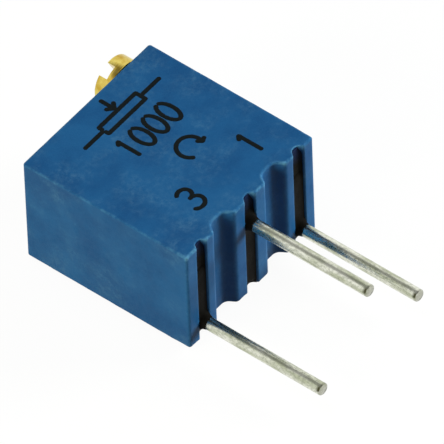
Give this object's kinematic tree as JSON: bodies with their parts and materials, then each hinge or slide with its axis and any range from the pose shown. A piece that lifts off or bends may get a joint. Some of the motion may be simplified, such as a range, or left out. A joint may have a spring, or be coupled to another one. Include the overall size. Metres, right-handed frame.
{
  "type": "trimmer potentiometer",
  "caption": "Square multi-turn trimmer potentiometer: blue housing, edge adjustment screw, worm-driven wiper and three wire terminals.",
  "frame": {"origin": "centre of the back face, which the part lies on", "axes": "+Z out of the marked face, +Y towards the adjustment screw, terminals along -Y, terminal 1 on the +X side"},
  "size_m": [0.0066, 0.0125, 0.0044],
  "materials": {
    "housing_blue": "fine moulded thermoplastic, low sheen",
    "potting_black": "cured epoxy, smooth",
    "screw_brass": "turned brass, bright",
    "seal_rubber": "moulded silicone rubber",
    "clip_steel": "stamped spring steel",
    "wheel_nylon": "natural nylon",
    "spring_alloy": "stamped contact alloy",
    "alumina": "fired alumina, matt white",
    "cermet": "printed resistive film",
    "silver_film": "printed conductor film",
    "tinned_wire": "hot-tinned copper wire",
    "marking_ink": "black pad-printed ink",
    "solder": "soft solder, satin"
  },
  "bodies": {
    "case": {"housing": "housing_blue", "potting_resin": "potting_black", "screw_seal_ring": "seal_rubber", "screw_retaining_clip": "clip_steel", "substrate": "alumina", "resistor_track": "cermet", "collector_track": "silver_film", "end_pad_1": "silver_film", "end_pad_3": "silver_film", "terminal_pin_1": "tinned_wire", "terminal_pin_2": "tinned_wire", "terminal_pin_3": "tinned_wire", "solder_joint_1": "solder", "solder_joint_2": "solder", "solder_joint_3": "solder"},
    "screw": {"adjustment_screw": "screw_brass"},
    "rotor": {"worm_wheel": "wheel_nylon", "wiper_spring": "spring_alloy"}
  },
  "joints": [
    {"name": "screw_turn", "type": "hinge", "parent": "case", "child": "screw", "pos_m": [0.0021, 0, 0.00342], "axis": [0, 1, 0], "range_deg": [-2430, 2430]},
    {"name": "wiper_turn", "type": "hinge", "parent": "case", "child": "rotor", "pos_m": [0, 0, 0.00342], "axis": [0, 0, 1], "range_deg": [-135.1, 135.1]}
  ],
  "couplings": [
    {"joint": "wiper_turn", "follows": "screw_turn", "ratio": -0.055556}
  ]
}
